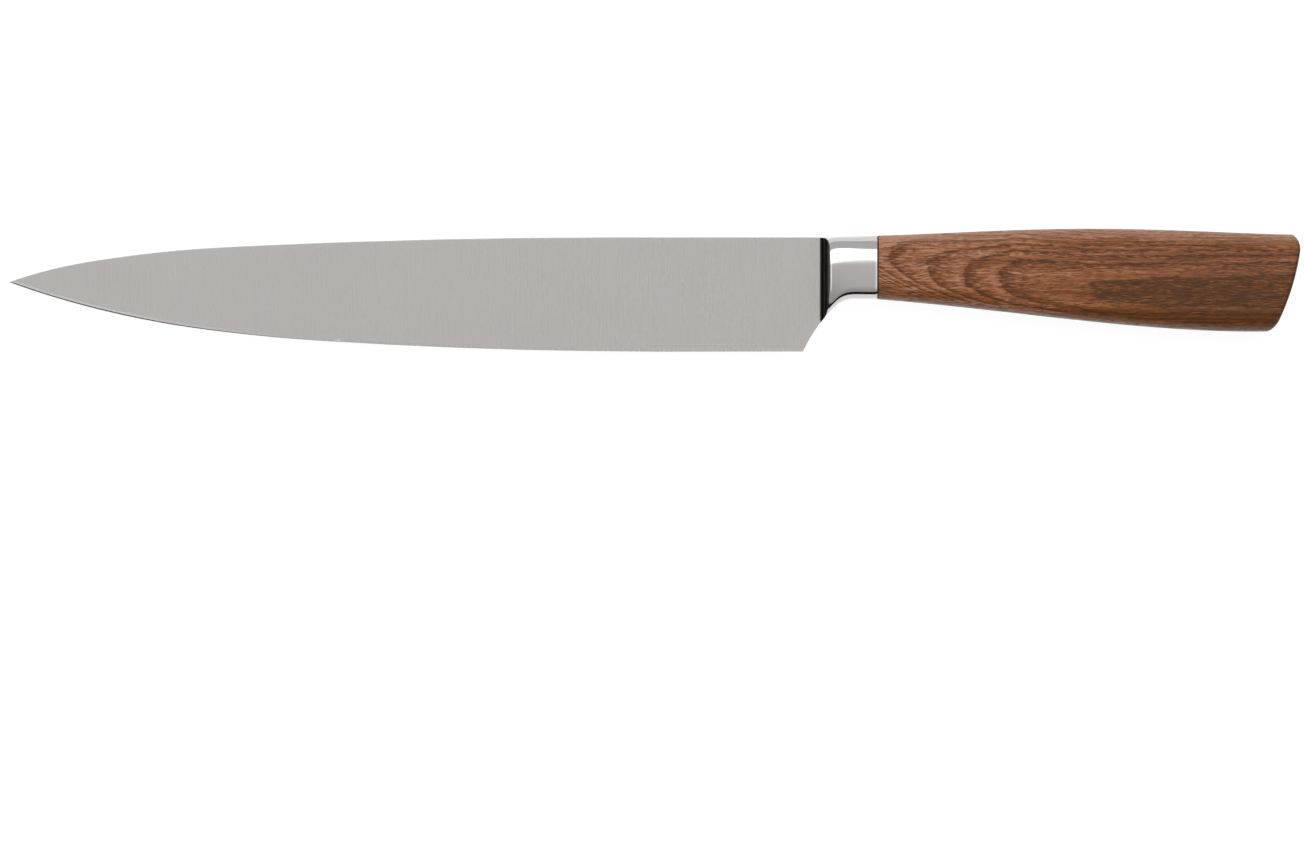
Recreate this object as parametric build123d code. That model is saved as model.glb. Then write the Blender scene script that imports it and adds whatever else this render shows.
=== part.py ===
from build123d import *
import math
import os

# A forged carving knife with a hidden tang, laid on its side.
# X runs along the knife with the tip at -X, +Y is towards the spine and +Z is up out of the blade's left side.
# It is drawn with the origin where the spine line meets the bolster's front rim, on the blade's middle plane,
# and moved at the end so that the origin lies under the middle of the whole knife, on what it rests on.

# Blade
blade_length = 210.0  # tip to the bolster's front rim
heel_height = 29.2  # spine to cutting edge at the heel
heel_setback = 6.75  # heel corner ahead of the bolster's front rim
spine_thickness = 2.4  # at the bolster
shoulder_thickness = 0.6  # where the sharpened bevel starts, at the heel
tip_thickness = 1.15  # at the point, before it is sharpened
sharpening_angle = 20  # each bevel to the blade's middle plane

# Outline of the blade: the straight runs from the bolster, then points on the curves to the tip.
# Each pair is a share of the blade's length ahead of the rim and a share of the heel's height below the spine.
spine_run_share = 0.262
edge_run_share = 0.214
tip_shares = (1.0, 0.392)
spine_curve_shares = ((0.738, 0.087), (0.905, 0.217), tip_shares)
edge_curve_shares = ((0.619, 0.906), (0.762, 0.8055), (0.905, 0.6045), tip_shares)

# Underside of the bolster, which sweeps down to the heel in two arcs
throat_height = 17.7  # spine to underside where the arcs meet
throat_setback = 1.66  # from the front rim back to that point
throat_run = 6.65  # from the rim back to where the underside is level

# Bolster
bolster_length = 12.1
joint_height = 16.3  # height of the section where the wood starts
joint_width = 15.0
joint_rise = 0.46  # how far the section there stands above the spine line
crown = 0.6  # how far the sides, top and underside bulge out between their corners
joint_corner_radius = 4.5
rear_chamfer = 0.3

# Front end of the bolster's body, which reaches into the blade ahead of the plunge
front_overlap = 0.6
front_sink = 0.15  # its top lies this far under the spine
front_drop_share = 0.4  # its underside, on the way from the throat's height to the heel's
front_width = 14.4
front_lower_width = 4.0
front_corner_radius = 5.0
front_lower_radius = 1.8

# Sections between the front end and the joint: a share of the throat's run behind the rim, a share of the
# joint's rise, a share of the way up from the front end's underside to the level one, a share of the way from
# the front end's lower width to the joint's, and the same for the corner radius.
bolster_section_shares = (
    (0.0, 0.04, 0.54, 0.36, 0.2),
    (0.45, 0.45, 0.885, 0.78, 0.6),
    (0.95, 0.7, 1.0, 1.0, 0.95),
    (1.4, 0.86, 1.0, 1.0, 1.0),
)

# Plunge: the hollow that the grinding wheel leaves where the blade's flat meets the bolster
plunge_radius = 1.9
plunge_draft = 12  # lean of the bolster's front wall
plunge_sink = 0.03  # how far the wheel's floor lies under the blade's flat

# Tang, inside the handle
tang_length = 95.0
tang_thickness = 4.0
tang_root_height = 11.0
tang_end_height = 9.0
tang_drop = 3.6  # how far its middle line falls from the joint to its end
tang_end_chamfer = 2.0
tang_anchor = 5.0  # how far it is drawn into the bolster
blank_anchor = 2.5  # and how far the blade is

# Spacer between bolster and wood
spacer_thickness = 0.4
spacer_inset = 0.12  # it lies this far under the steel and the wood
spacer_clearance = 0.15  # between its slot and the tang

# Wooden handle
wood_length = 108.1  # to the corner that the butt's upper radius rounds off
handle_depth = 25.4  # spine side to edge side where the handle is deepest
handle_width = 17.5
handle_crest = 2.2  # highest point above the spine line
handle_corner_radius = 5.5
# Sections along the wood: shares of its length, crest, depth and width, from the joint to just past the butt
handle_section_shares = (
    (0.24, 0.69, 0.783, 0.926),
    (0.48, 1.0, 0.924, 0.983),
    (0.72, 0.786, 0.994, 1.0),
    (1.01, 0.3, 0.961, 0.971),
)
butt_lean = 16.2  # the end face leans in towards the edge side
butt_bulge_radius = 64.0
butt_upper_radius = 5.0
butt_lower_radius = 6.0
butt_margin = 0.35  # the corner arcs start this far outside the wood, so that they meet it at an angle
butt_rim_radius = 1.2

# Adhesive and hidden pins
glue_gap = 0.35
pin_diameter = 4.0
pin_length = 11.0
pin_clearance = 0.05
pin_end_clearance = 0.3
pin_place_shares = (0.26, 0.74)  # along the tang

overrun = 8.0  # how far cutting shapes reach past what they cut

level_underside = joint_rise - joint_height
wood_start = bolster_length + spacer_thickness
wood_end = wood_start + wood_length
plunge_floor = spine_thickness / 2 - plunge_sink
tang_root_middle = (joint_rise + level_underside) / 2


def on_blade(shares):
    """A point of the blade's outline from its share of the length and of the heel's height."""
    return (-blade_length * shares[0], -heel_height * shares[1])


def tangent_run(points, direction):
    """Arcs through the points, each leaving the way the last one arrived."""
    arcs = []
    for start, end in zip(points, points[1:]):
        arc = TangentArc(start, end, tangent=direction)
        direction = arc % 1
        arcs.append(arc)
    return arcs


def blade_curves():
    """The curved runs of the spine and of the cutting edge, each from its straight run to the tip."""
    spine_start = (-blade_length * spine_run_share, 0)
    edge_start = (-blade_length * edge_run_share, -heel_height)
    forward = (-1, 0)
    spine = tangent_run([spine_start] + [on_blade(shares) for shares in spine_curve_shares], forward)
    edge = tangent_run([edge_start] + [on_blade(shares) for shares in edge_curve_shares], forward)
    return spine_start, spine, edge_start, edge


def blade_blank():
    """The blade's outline as a plate, with the throat's sweep up to the bolster, where it ends inside the steel."""
    spine_start, spine, edge_start, edge = blade_curves()
    heel = (-heel_setback, -heel_height)
    throat = (throat_setback, -throat_height)
    sweep = tangent_run([(throat_run, level_underside), throat, heel], (-1, 0))
    hidden_top = (blank_anchor, 0)
    hidden_bottom = (blank_anchor, level_underside + crown)
    outline = [Line(hidden_top, spine_start)] + spine + edge + [Line(edge_start, heel), sweep[1]]
    outline += [Line(throat, hidden_bottom), Line(hidden_bottom, hidden_top)]
    return extrude(make_face(outline).face(), amount=spine_thickness, both=True)


def grind_slopes():
    """How much each flat falls per millimetre towards the edge and towards the tip."""
    to_edge = (spine_thickness - shoulder_thickness) / 2 / heel_height
    tip_depth = -on_blade(tip_shares)[1]
    to_tip = (spine_thickness / 2 - to_edge * tip_depth - tip_thickness / 2) / blade_length
    return to_edge, to_tip


def bevel_tool():
    """Everything inside the two sharpened bevels, which follow the cutting edge at a steady angle."""
    edge_start, edge = blade_curves()[2:]
    tip = on_blade(tip_shares)
    past_heel = (overrun, -heel_height)
    corners = [tip, (tip[0] - overrun, tip[1] + overrun), (tip[0] - overrun, overrun), (overrun, overrun), past_heel]
    outline = [Line(past_heel, edge_start)] + edge + [Line(a, b) for a, b in zip(corners, corners[1:])]
    half = extrude(make_face(outline).face(), amount=spine_thickness, taper=90 - sharpening_angle)
    return half + mirror(half, about=Plane.XY)


def ground_blade():
    """The plate with both flats ground to their taper and the edge sharpened."""
    to_edge, to_tip = grind_slopes()
    body = blade_blank()
    for side in (1, -1):
        flat = Plane(origin=(0, 0, side * spine_thickness / 2), z_dir=(-to_tip, -to_edge, side))
        body = split(body, bisect_by=flat, keep=Keep.BOTTOM)
    return body & bevel_tool()


def crowned_section(x, top, bottom, width, lower_width, corner, lower_corner):
    """A face across the knife: four bulged sides with rounded corners."""
    plane = Plane(origin=(x, 0, 0), x_dir=(0, 1, 0), z_dir=(1, 0, 0))
    middle = (top + bottom) / 2
    upper = width / 2 - crown
    lower = lower_width / 2 - crown
    high = top - crown
    low = bottom + crown
    sides = [
        ThreePointArc((high, upper), (top, 0), (high, -upper)),
        ThreePointArc((high, -upper), (middle, -width / 2), (low, -lower)),
        ThreePointArc((low, -lower), (bottom, 0), (low, lower)),
        ThreePointArc((low, lower), (middle, width / 2), (high, upper)),
    ]
    face = make_face(sides).face()
    upper_corners = face.vertices().filter_by(lambda v: v.X > middle)
    face = fillet(upper_corners, corner).face()
    lower_corners = face.vertices().group_by(Axis.X)[0]
    face = fillet(lower_corners, lower_corner).face()
    return plane * face


def between(start, end, share):
    return start + (end - start) * share


def joint_section(x, inset=0):
    """The section shared by the bolster's rear, the spacer and the front of the wood, or one set in from it."""
    return crowned_section(
        x,
        joint_rise - inset,
        level_underside + inset,
        joint_width - 2 * inset,
        joint_width - 2 * inset,
        joint_corner_radius - inset,
        joint_corner_radius - inset,
    )


def plunge_run():
    """How far ahead of the bolster's front rim the wheel's hollow starts on the flat."""
    turn = math.radians(90 - plunge_draft)
    arc_rise = plunge_radius * (1 - math.cos(turn))
    wall_rise = joint_width / 2 - plunge_floor - arc_rise
    return plunge_radius * math.sin(turn) + wall_rise * math.tan(math.radians(plunge_draft))


def bolster_body():
    """The bolster as forged, from inside the blade back to the joint."""
    front_underside = between(-throat_height, -heel_height, front_drop_share)
    front = crowned_section(
        -plunge_run() - front_overlap,
        -front_sink,
        front_underside,
        front_width,
        front_lower_width,
        front_corner_radius,
        front_lower_radius,
    )
    sections = [front]
    for along, rise, lift, spread, rounding in bolster_section_shares:
        section = crowned_section(
            throat_run * along,
            joint_rise * rise,
            between(front_underside, level_underside, lift),
            between(front_width, joint_width, spread),
            between(front_lower_width, joint_width, spread),
            between(front_corner_radius, joint_corner_radius, rounding),
            between(front_lower_radius, joint_corner_radius, rounding),
        )
        sections.append(section)
    chamfer_start = bolster_length - rear_chamfer
    sections.append(joint_section(chamfer_start))
    rear = loft([joint_section(chamfer_start), joint_section(bolster_length, rear_chamfer)], ruled=True)
    return loft(sections) + rear


def plunge_cutter():
    """What the grinding wheel takes away in front of the bolster on the upper side."""
    start = (-plunge_run(), plunge_floor)
    far = -plunge_run() - overrun
    top = joint_width / 2 + overrun
    arc = JernArc(start, (1, 0), plunge_radius, 90 - plunge_draft)
    wall_end = (arc @ 1).X + (top - (arc @ 1).Y) * math.tan(math.radians(plunge_draft))
    corners = [arc @ 1, (wall_end, top), (far, top), (far, plunge_floor), start]
    profile = make_face([arc] + [Line(a, b) for a, b in zip(corners, corners[1:])]).face()
    cutter = extrude(Plane.XZ.offset(-overrun) * profile, amount=heel_height + 2 * overrun)
    lean = math.degrees(math.atan(grind_slopes()[0]))
    return cutter.rotate(Axis((0, 0, spine_thickness / 2), (1, 0, 0)), lean)


def tang_outline():
    """The tang seen from the side, from inside the bolster to its chamfered end."""
    start = bolster_length - tang_anchor
    end = bolster_length + tang_length
    slope = tang_drop / tang_length
    taper = (tang_root_height - tang_end_height) / 2 / tang_length

    def middle(x):
        return tang_root_middle - slope * (x - bolster_length)

    def half(x):
        return tang_root_height / 2 - taper * (x - bolster_length)

    shoulder = end - tang_end_chamfer
    return [
        (start, middle(start) - half(start)),
        (shoulder, middle(shoulder) - half(shoulder)),
        (end, middle(end) - half(end) + tang_end_chamfer),
        (end, middle(end) + half(end) - tang_end_chamfer),
        (shoulder, middle(shoulder) + half(shoulder)),
        (start, middle(start) + half(start)),
    ]


def tang_bar(gap):
    """The tang grown by a gap all round."""
    face = make_face(Polyline(tang_outline(), close=True)).face()
    if gap > 0:
        face = offset(face, gap, kind=Kind.INTERSECTION).face()
    return extrude(face, amount=tang_thickness / 2 + gap, both=True)


def pins(radius, length):
    """The two hidden pins, or the holes for them, on the tang's middle line."""
    placed = []
    for share in pin_place_shares:
        place = Pos(bolster_length + tang_length * share, tang_root_middle - tang_drop * share, 0)
        placed.append(place * Cylinder(radius, length))
    return placed


def open_edges(faces):
    """The edges that only one of the faces has, which go round them all."""
    edges = [edge for face in faces for edge in face.edges()]
    return [edge for edge in edges if sum(other.is_same(edge) for other in edges) == 1]


def forged_blade():
    """Blade, bolster and tang, which are one piece of steel."""
    cutter = plunge_cutter()
    bolster = bolster_body() - cutter - mirror(cutter, about=Plane.XY)
    tang = tang_bar(0)
    for hole in pins(pin_diameter / 2 + pin_clearance, tang_thickness + overrun):
        tang = tang - hole
    return ground_blade() + bolster + tang


def butt_trim():
    """A plate whose right end is the butt's outline, a little higher and lower than the wood."""
    ends = []
    for along, rise, depth, _ in handle_section_shares[-2:]:
        top = handle_crest * rise
        ends.append((wood_start + wood_length * along, top, top - handle_depth * depth))
    near_x, near_top, near_bottom = ends[0]
    far_top, far_bottom = ends[1][1:]
    drop = far_top - far_bottom + 2 * butt_margin
    end_top = (wood_end, far_top + butt_margin)
    end_bottom = (wood_end - drop * math.tan(math.radians(butt_lean)), far_bottom - butt_margin)
    corners = [
        end_bottom,
        (near_x, near_bottom - butt_upper_radius),
        (wood_start - overrun, -handle_depth - overrun),
        (wood_start - overrun, handle_crest + overrun),
        (near_x, near_top + butt_upper_radius),
        end_top,
    ]
    end = RadiusArc(end_top, end_bottom, butt_bulge_radius)
    face = make_face([end] + [Line(a, b) for a, b in zip(corners, corners[1:])]).face()
    face = fillet(face.vertices().sort_by_distance(end_top)[0], butt_upper_radius).face()
    face = fillet(face.vertices().sort_by_distance(end_bottom)[0], butt_lower_radius).face()
    return extrude(face, amount=handle_width, both=True)


def handle_block():
    """The outside of the wooden handle, before it is parted into halves."""
    sections = [joint_section(wood_start)]
    for along, rise, depth, width in handle_section_shares:
        top = handle_crest * rise
        section = crowned_section(
            wood_start + wood_length * along,
            top,
            top - handle_depth * depth,
            handle_width * width,
            handle_width * width,
            handle_corner_radius,
            handle_corner_radius,
        )
        sections.append(section)
    block = loft(sections) & butt_trim()
    butt_faces = block.faces().filter_by(GeomType.CYLINDER)
    return fillet(open_edges(butt_faces), butt_rim_radius)


def tang_pocket():
    """The hollow routed in the wood for the tang and its adhesive."""
    front = Plane(origin=(wood_start, 0, 0), z_dir=(1, 0, 0))
    return split(tang_bar(glue_gap), bisect_by=front, keep=Keep.TOP)


def handle_halves():
    """The left and the right half of the wood, with the tang's pocket and the blind holes for the pins."""
    block = handle_block() - tang_pocket()
    for hole in pins(pin_diameter / 2 + pin_clearance, pin_length + 2 * pin_end_clearance):
        block = block - hole
    return split(block, bisect_by=Plane.XY, keep=Keep.TOP), split(block, bisect_by=Plane.XY, keep=Keep.BOTTOM)


def spacer():
    """The thin dark plate between bolster and wood, slotted over the tang."""
    section = joint_section(bolster_length, spacer_inset)
    return extrude(section, amount=spacer_thickness, dir=(1, 0, 0)) - tang_bar(spacer_clearance)


def adhesive():
    """The cured adhesive that fills the pocket round the tang."""
    bed = tang_pocket() - tang_bar(0)
    for hole in pins(pin_diameter / 2 + pin_clearance, tang_thickness + overrun):
        bed = bed - hole
    return bed


def low_and_high(shapes):
    """The lowest and the highest corner of all the shapes together."""
    boxes = [shape.bounding_box() for shape in shapes]
    low = [min(getattr(box.min, axis) for box in boxes) for axis in "XYZ"]
    high = [max(getattr(box.max, axis) for box in boxes) for axis in "XYZ"]
    return low, high


left_half, right_half = handle_halves()
front_pin, rear_pin = pins(pin_diameter / 2, pin_length)
pieces = {
    "blade": forged_blade(),
    "handle_spacer": spacer(),
    "left_handle_half": left_half,
    "right_handle_half": right_half,
    "tang_adhesive": adhesive(),
    "hidden_pins": front_pin + rear_pin,
}

low, high = low_and_high(pieces.values())
to_frame = Pos(-(low[0] + high[0]) / 2, -(low[1] + high[1]) / 2, -low[2])

os.makedirs("parts", exist_ok=True)
for name, piece in pieces.items():
    export_step(to_frame * piece, f"parts/{name}.step")
print("overall size", [round(b - a, 3) for a, b in zip(low, high)])
print("drawing origin in the knife's frame", to_frame.position)
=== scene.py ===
# %% [markdown]
# # A carving knife, dressed for its photograph
# The knife was drawn in CAD as six nodes: the forged blade with its bolster and tang, a thin spacer, two
# halves of walnut, the adhesive bed and two hidden pins. This lesson keeps their places and sizes and gives
# them the skin of the real thing: a satin ground blade, a polished bolster with a softly rounded rim, and
# oiled wood with its grain.

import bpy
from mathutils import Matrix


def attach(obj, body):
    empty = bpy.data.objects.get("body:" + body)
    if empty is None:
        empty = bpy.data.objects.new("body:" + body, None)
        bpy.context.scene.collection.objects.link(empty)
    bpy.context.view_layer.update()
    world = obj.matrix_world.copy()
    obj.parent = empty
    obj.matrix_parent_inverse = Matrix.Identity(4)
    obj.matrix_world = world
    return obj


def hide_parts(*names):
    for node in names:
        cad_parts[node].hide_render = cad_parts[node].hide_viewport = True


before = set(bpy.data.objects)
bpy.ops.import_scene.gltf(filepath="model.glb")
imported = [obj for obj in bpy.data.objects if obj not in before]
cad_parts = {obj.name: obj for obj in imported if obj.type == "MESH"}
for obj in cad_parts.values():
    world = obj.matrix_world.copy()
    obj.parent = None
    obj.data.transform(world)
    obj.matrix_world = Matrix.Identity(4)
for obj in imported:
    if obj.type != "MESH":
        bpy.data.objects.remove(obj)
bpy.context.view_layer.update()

# %% [markdown]
# ## A drawing in millimetres
# Knife makers measure from the bolster, so the steel is drawn in millimetres, with the origin where the spine
# line meets the bolster's front rim, and is moved into the knife's frame when it is finished. Every piece
# ends with its place in its mesh and its object at the origin, because the wood's and the steel's patterns
# read Object coordinates and would slide otherwise.

# %% From the drawing to the frame
import math

import bmesh
import bpy
import numpy as np
from mathutils import Matrix, Vector

MM = 0.001
weld = 2e-4
rim_place = Vector((0.0449484, 0.0134974, 0.0087526))
to_frame = Matrix.Translation(rim_place) @ Matrix.Scale(MM, 4)
to_drawing = to_frame.inverted()


def smooth_up_to(mesh, degrees):
    """Smooth faces, with a sharp edge wherever two of them meet at more than an angle."""
    mesh.normal_update()
    for face in mesh.faces:
        face.smooth = True
    for edge in mesh.edges:
        edge.smooth = edge.calc_face_angle(0) < math.radians(degrees)


def new_piece(name, mesh, node):
    """A bmesh in the knife's frame becomes a shown piece that stands for a CAD node."""
    data = bpy.data.meshes.new(name)
    mesh.to_mesh(data)
    mesh.free()
    piece = bpy.data.objects.new(name, data)
    bpy.context.scene.collection.objects.link(piece)
    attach(piece, "root")
    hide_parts(node)
    evened = piece.modifiers.new("even normals", "WEIGHTED_NORMAL")
    evened.keep_sharp = True
    print(name, "has", len(data.polygons), "faces")
    return piece


def merged_copy(node):
    """A copy of a CAD node's loose triangles, joined into one skin."""
    mesh = bmesh.new()
    mesh.from_mesh(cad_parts[node].data)
    bmesh.ops.remove_doubles(mesh, verts=mesh.verts, dist=0.001 * MM)
    return mesh


# %% [markdown]
# ## The blade and the tang come from the CAD
# Both are flat work: planes, a straight taper and a sharpened edge. Their triangles are already exact, so a
# copy is merged, cut free at the plunge and behind the bolster, and its flat triangles are dissolved into
# whole faces. Remodelling them by hand would only add error. Two things are added that a grinder leaves and
# CAD left out: the spine's corners and the corners of the throat are eased, so that they catch a thin line of
# light.

# %% Cut the forging's copy at the plunge and behind the bolster
flat_within = math.radians(0.2)
spine_half = 1.2
fall_to_edge = 0.0308219
fall_to_tip = 0.0012962
plunge_start = -2.884
join_gap = 0.1
bolster_end = 12.1


def flat_height(x, y):
    """Height of the blade's ground flat over the middle plane."""
    return spine_half + fall_to_tip * x + fall_to_edge * y


def cut_forging(x, keep_front):
    """The part of the forging ahead of or behind a plane across the knife, in the drawing's millimetres."""
    mesh = merged_copy("blade")
    mesh.transform(to_drawing)
    everything = mesh.verts[:] + mesh.edges[:] + mesh.faces[:]
    side = 1 if keep_front else -1
    bmesh.ops.bisect_plane(mesh, geom=everything, dist=1e-5, plane_co=(x, 0, 0), plane_no=(side, 0, 0),
                           clear_outer=True)
    bmesh.ops.dissolve_limit(mesh, angle_limit=flat_within, verts=mesh.verts, edges=mesh.edges)
    return mesh


def cut_loop(mesh, x):
    """The open edges of a mesh that lie in a plane across the knife."""
    return [e for e in mesh.edges if e.is_boundary and all(abs(v.co.x - x) < 0.01 for v in e.verts)]


blade_part = cut_forging(plunge_start - join_gap, True)
tang_part = cut_forging(bolster_end + join_gap, False)
print("blade faces", len(blade_part.faces), "tang faces", len(tang_part.faces))
print("open edges", len(cut_loop(blade_part, plunge_start - join_gap)),
      len(cut_loop(tang_part, bolster_end + join_gap)))

# %% [markdown]
# ## A thinner tip
# CAD keeps both flats plane, and a plane flat leaves the sharpened bevel wide near the tip, where the edge
# curves up into thicker steel. A grinder thins the front of the blade instead, until the bevel is as narrow
# there as at the heel. So the front is drawn anew as a row of rings across the blade: each has the cutting
# edge, a last bit that is steeper, the top of the bevel and the eased corner of the spine, on both sides.
# Spine and edge follow the CAD's outline on a smooth spline.

# %% A smooth run through a few measured stations
def smooth_through(places, values, wanted):
    """A natural cubic spline through values at places, read at the wanted place."""
    places = np.array(places, float)
    values = np.array(values, float)
    step = np.diff(places)
    rise = np.diff(values) / step
    bend = np.zeros(len(places))
    system = np.diag(2 * (step[:-1] + step[1:])) + np.diag(step[1:-1], 1) + np.diag(step[1:-1], -1)
    bend[1:-1] = np.linalg.solve(system, 6 * np.diff(rise))
    i = min(max(int(np.searchsorted(places, wanted)) - 1, 0), len(step) - 1)
    ahead = wanted - places[i]
    behind = step[i] - ahead
    curve = (bend[i] * behind ** 3 + bend[i + 1] * ahead ** 3) / (6 * step[i])
    first = (values[i] / step[i] - bend[i] * step[i] / 6) * behind
    second = (values[i + 1] / step[i] - bend[i + 1] * step[i] / 6) * ahead
    return curve + first + second


# %% The outline of the front
thin_start = -125.0
bevel_half_at_start = 0.2316
bevel_width_at_start = 0.636


def outline_of(mesh, belongs):
    """The plan outline, as xs and ys, through the vertices of the front that belong to it."""
    places = sorted({(round(v.co.x, 3), round(v.co.y, 3)) for v in mesh.verts if v.co.x < -90 and belongs(v)})
    return [list(values) for values in zip(*places)]


def on_spine_corner(vert):
    """True for the vertices between the left flat and the spine."""
    return vert.co.z > 0.05 and any(abs(face.normal.z) < 0.3 for face in vert.link_faces)


edge_outline = outline_of(blade_part, lambda vert: abs(vert.co.z) < 1e-3)
spine_outline = outline_of(blade_part, on_spine_corner)
tip = Vector((edge_outline[0][0], edge_outline[1][0], 0))
for values, value in zip(spine_outline, tip):
    values.insert(0, value)
print("outline points", len(edge_outline[0]), "on the edge,", len(spine_outline[0]), "on the spine")

# %% Cut off the front and ease the corners of the rest
eased = 0.14
eased_steps = 3
corner_angle = math.radians(60)
edge_zone = 0.25


def runs_along_corner(edge):
    """True for the corners between a flat and the spine or the throat, but not for the sharpened edge."""
    if edge.is_boundary or edge.calc_face_angle(0) < corner_angle:
        return False
    heights = [abs(v.co.z) for v in edge.verts]
    return min(heights) > edge_zone and all(v.co.z * edge.verts[0].co.z > 0 for v in edge.verts)


everything = blade_part.verts[:] + blade_part.edges[:] + blade_part.faces[:]
bmesh.ops.bisect_plane(blade_part, geom=everything, dist=1e-5, plane_co=(thin_start, 0, 0),
                       plane_no=(-1, 0, 0), clear_outer=True)
corners = [edge for edge in blade_part.edges if runs_along_corner(edge)]
bmesh.ops.bevel(blade_part, geom=corners, offset=eased, offset_type="OFFSET", segments=eased_steps,
                profile=0.5, affect="EDGES", material=-1, clamp_overlap=True)
print("eased", len(corners), "edges")

# %% The front of the blade as rings
front_rings = 48
crowding = 1.3
wedge_rise = 0.045
wedge_softness = 0.1
softness_growth = 4
bevel_half_at_tip = 0.34
bevel_width_at_tip = 0.85
last_bit_width = 0.34
last_bit_slope = math.tan(math.radians(34))
last_bit_share_at_start = 0.1
last_bit_growth = 1.4
last_bit_lift = 0.7
slope_step = 0.05


def between(start, end, share):
    """The value at a share of the way from a start to an end."""
    return start + (end - start) * share


def ring_at(x):
    """The ring at a place along the front: edge, bevel and eased spine corner above, then the same below."""
    share = (thin_start - x) / (thin_start - tip.x)
    edge_y = smooth_through(*edge_outline, x)
    spine_y = smooth_through(*spine_outline, x)
    slope = (smooth_through(*edge_outline, x + slope_step) - edge_y) / slope_step
    lean = math.hypot(1, slope)
    width = between(bevel_width_at_start, bevel_width_at_tip, share) * lean
    bevel_y = min(edge_y + width, spine_y)
    fit = (bevel_y - edge_y) / width
    bevel_half = between(bevel_half_at_start, bevel_half_at_tip, share) * fit
    last_bit = last_bit_width * min(1.0, last_bit_share_at_start + share * last_bit_growth) * fit
    straight_half = bevel_half * last_bit / width * lean
    last_bit_half = min(last_bit * last_bit_slope, between(straight_half, bevel_half, last_bit_lift))
    plane = flat_height(x, spine_y)
    wedge = bevel_half + wedge_rise * (spine_y - bevel_y)
    softness = wedge_softness * min(1.0, share * softness_growth)
    spine_z = max((plane + wedge - math.hypot(plane - wedge, softness)) / 2, bevel_half)
    round_by = min(eased, 0.4 * spine_z, 0.5 * (spine_y - bevel_y))
    corner = []
    for step in range(eased_steps + 1):
        turn = math.pi / 2 * step / eased_steps
        corner.append((spine_y - round_by * (1 - math.sin(turn)), spine_z - round_by * (1 - math.cos(turn))))
    above = [(edge_y + last_bit * lean, last_bit_half), (bevel_y, bevel_half)] + corner
    below = [(y, -z) for y, z in reversed(above)]
    return [Vector((x, y, z)) for y, z in [(edge_y, 0)] + above + below]


def sweep(mesh, rows, closed=False):
    """A skin drawn row by row: a chain of edges is extruded, and each new vertex goes to its place."""
    chain = [mesh.verts.new(place) for place in rows[0]]
    ahead = chain[1:] + chain[:1] if closed else chain[1:]
    edges = [mesh.edges.new(pair) for pair in zip(chain, ahead)]
    for row in rows[1:]:
        made = bmesh.ops.extrude_edge_only(mesh, edges=edges)["geom"]
        fresh = {item for item in made if isinstance(item, bmesh.types.BMVert)}
        chain = [next(e.other_vert(v) for e in v.link_edges if e.other_vert(v) in fresh) for v in chain]
        for vert, place in zip(chain, row):
            vert.co = place
        ahead = chain[1:] + chain[:1] if closed else chain[1:]
        edges = [mesh.edges.get(pair) for pair in zip(chain, ahead)]


front_length = thin_start - join_gap - tip.x
ring_places = [tip.x + front_length * share ** crowding for share in np.linspace(1, 0, front_rings)[:-1]]
rings = [ring_at(x) for x in ring_places]
sweep(blade_part, rings + [[tip] * len(rings[0])], closed=True)
bmesh.ops.remove_doubles(blade_part, verts=blade_part.verts, dist=1e-4)
front = cut_loop(blade_part, thin_start) + cut_loop(blade_part, thin_start - join_gap)
print("bridged", len(bmesh.ops.bridge_loops(blade_part, edges=front)["faces"]), "faces behind the front")
bmesh.ops.recalc_face_normals(blade_part, faces=blade_part.faces)
blade_part.normal_update()
print("open edges away from the plunge", sum(edge.is_boundary for edge in blade_part.edges)
      - len(cut_loop(blade_part, plunge_start - join_gap)))

# %% [markdown]
# ## The bolster is drawn as ribs
# The bolster is forged, then polished to a mirror, and a mirror shows every facet. The CAD's triangles are
# too few for that, and a subdivision surface would pull its crowned sides in. So its skin is drawn as ribs
# across the knife: each rib is a chain of tangent arcs, and the sizes of the arcs run smoothly along the
# knife on a cubic spline.

# %% Stations of the bolster
chamfer_start = 11.93
chamfer_inset = 0.06
crown = 0.6
stations = (-3.484, 0.0, 2.9925, 6.3175, 9.31, chamfer_start)
station_values = {
    "top": (0.0, 0.018, 0.207, 0.322, 0.396, 0.46),
    "width": (14.4, 14.616, 14.868, 14.97, 15.0, 15.0),
    "lower_width": (4.0, 8.6, 12.9, 14.5, 14.93, 15.0),
    "side_crown": (1.4, 1.3, 0.95, 0.7, 0.6, 0.6),
    "corner": (5.0, 3.9, 3.8, 4.0, 4.3, 4.5),
    "lower_corner": (1.8, 3.0, 3.6, 3.5, 3.5, 3.5),
}
roof_stations = (-3.484, -1.8, -0.6, 0.6, 2.5, chamfer_start)
roof_line = (3.3, 3.0, 1.8, 0.6, 0.45, 0.6)
throat_stations = (-3.484, -2.984, -1.41, 0.64, 2.69, 4.73, 7.8, chamfer_start)
throat_line = (-23.33, -22.71, -20.78, -18.52, -16.78, -15.99, -15.83, -15.84)


def rib_sizes(x):
    """The sizes of the rib at one place along the knife."""
    sizes = {name: smooth_through(stations, values, x) for name, values in station_values.items()}
    sizes["roof"] = smooth_through(roof_stations, roof_line, x)
    sizes["bottom"] = smooth_through(throat_stations, throat_line, x)
    return sizes


print("rib at the rim", {name: round(size, 2) for name, size in rib_sizes(0.0).items()})

# %% [markdown]
# ## One rib is five tangent arcs
# Half a rib runs from the middle of the top, over the shoulder, down the crowned side and round under to the
# middle of the underside. Three large arcs are joined by two fillets, whose centres lie where two circles
# cross.

# %% Arcs of a rib
from mathutils.geometry import intersect_sphere_sphere_2d

arc_points = 60


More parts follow.
